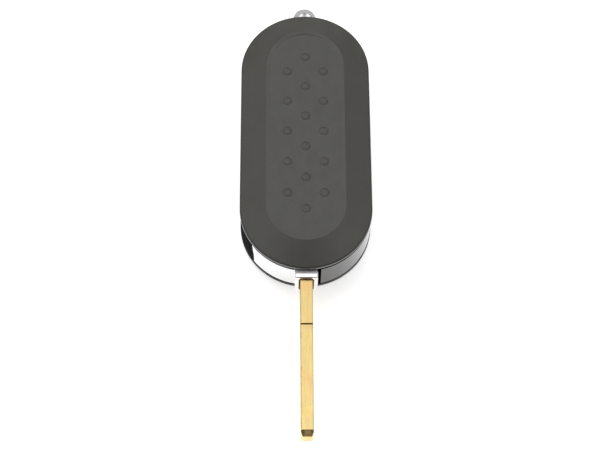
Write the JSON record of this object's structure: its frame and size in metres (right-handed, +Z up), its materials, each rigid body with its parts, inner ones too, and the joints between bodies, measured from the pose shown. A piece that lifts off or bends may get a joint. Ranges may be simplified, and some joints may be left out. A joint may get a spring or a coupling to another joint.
{
  "type": "car key remote",
  "caption": "Flip key remote for a car: a stadium shaped case with dimpled rear cover, gloss core, swing-out blade, press keys, release button and side battery tray.",
  "frame": {"origin": "centre of the flat button face that the key rests on", "axes": "+Y towards the key ring, -Y towards the blade tip, +Z up through the rear cover"},
  "size_m": [0.035, 0.1259, 0.017],
  "materials": {
    "soft_black": "soft touch, fine grain",
    "front_black": "fine satin",
    "gloss_black": "piano gloss",
    "key_black": "satin",
    "chrome": "bright plated",
    "blade_brass": "satin, milled",
    "steel": "turned",
    "spring_steel": "drawn wire",
    "switch_metal": "stamped",
    "cell_steel": "brushed",
    "pad_rubber": "silicone",
    "board_green": "solder mask",
    "chip_black": "moulded",
    "ferrite": "dull",
    "ceramic_tan": "fired"
  },
  "bodies": {
    "fob": {"rear_cover": "soft_black", "front_cover": "front_black", "core_frame": "gloss_black", "key_ring_lug": "chrome", "case_screw_1": "steel", "case_screw_2": "steel", "case_screw_3": "steel", "pivot_pin": "steel", "flip_spring": "spring_steel", "button_spring": "spring_steel", "key_pad_lock": "pad_rubber", "key_pad_unlock": "pad_rubber", "key_pad_boot": "pad_rubber", "switch_lock": "switch_metal", "switch_unlock": "switch_metal", "switch_boot": "switch_metal", "circuit_board": "board_green", "microcontroller": "chip_black", "transponder_chip": "chip_black", "radio_crystal": "switch_metal", "antenna_coil": "ferrite", "capacitor_1": "ceramic_tan", "capacitor_2": "ceramic_tan", "capacitor_3": "ceramic_tan", "capacitor_4": "ceramic_tan", "contact_minus": "spring_steel", "contact_plus": "spring_steel"},
    "blade_arm": {"blade_hub": "chrome", "blade": "blade_brass", "blade_pin": "steel"},
    "release": {"release_button": "chrome"},
    "lock_key": {"key_lock": "key_black"},
    "unlock_key": {"key_unlock": "key_black"},
    "boot_key": {"key_boot": "key_black"},
    "tray": {"battery_tray": "gloss_black", "coin_battery": "cell_steel"},
    "tray_lock": {"tray_lock_screw": "steel"}
  },
  "joints": [
    {"name": "blade_flip", "type": "hinge", "parent": "fob", "child": "blade_arm", "pos_m": [-0.007, -0.0275, 0.00765], "axis": [0, 0, -1], "range_deg": [0, 180], "deforming": ["flip_spring"]},
    {"name": "release_press", "type": "slide", "parent": "fob", "child": "release", "axis": [0, 0, 1], "range_m": [0, 0.0015], "stiffness_N_per_m": 900, "springref_m": -0.001, "deforming": ["button_spring"]},
    {"name": "lock_press", "type": "slide", "parent": "fob", "child": "lock_key", "axis": [0, 0, 1], "range_m": [0, 0.0004], "stiffness_N_per_m": 3000, "springref_m": -0.0003, "deforming": ["key_pad_lock"]},
    {"name": "unlock_press", "type": "slide", "parent": "fob", "child": "unlock_key", "axis": [0, 0, 1], "range_m": [0, 0.0004], "stiffness_N_per_m": 3000, "springref_m": -0.0003, "deforming": ["key_pad_unlock"]},
    {"name": "boot_press", "type": "slide", "parent": "fob", "child": "boot_key", "axis": [0, 0, 1], "range_m": [0, 0.0004], "stiffness_N_per_m": 3000, "springref_m": -0.0003, "deforming": ["key_pad_boot"]},
    {"name": "tray_slide", "type": "slide", "parent": "fob", "child": "tray", "axis": [1, 0, 0], "range_m": [0, 0.024]},
    {"name": "tray_lock_turn", "type": "hinge", "parent": "fob", "child": "tray_lock", "pos_m": [-0.01175, 0, 0.01015], "axis": [1, 0, 0], "range_deg": [0, 90]}
  ]
}
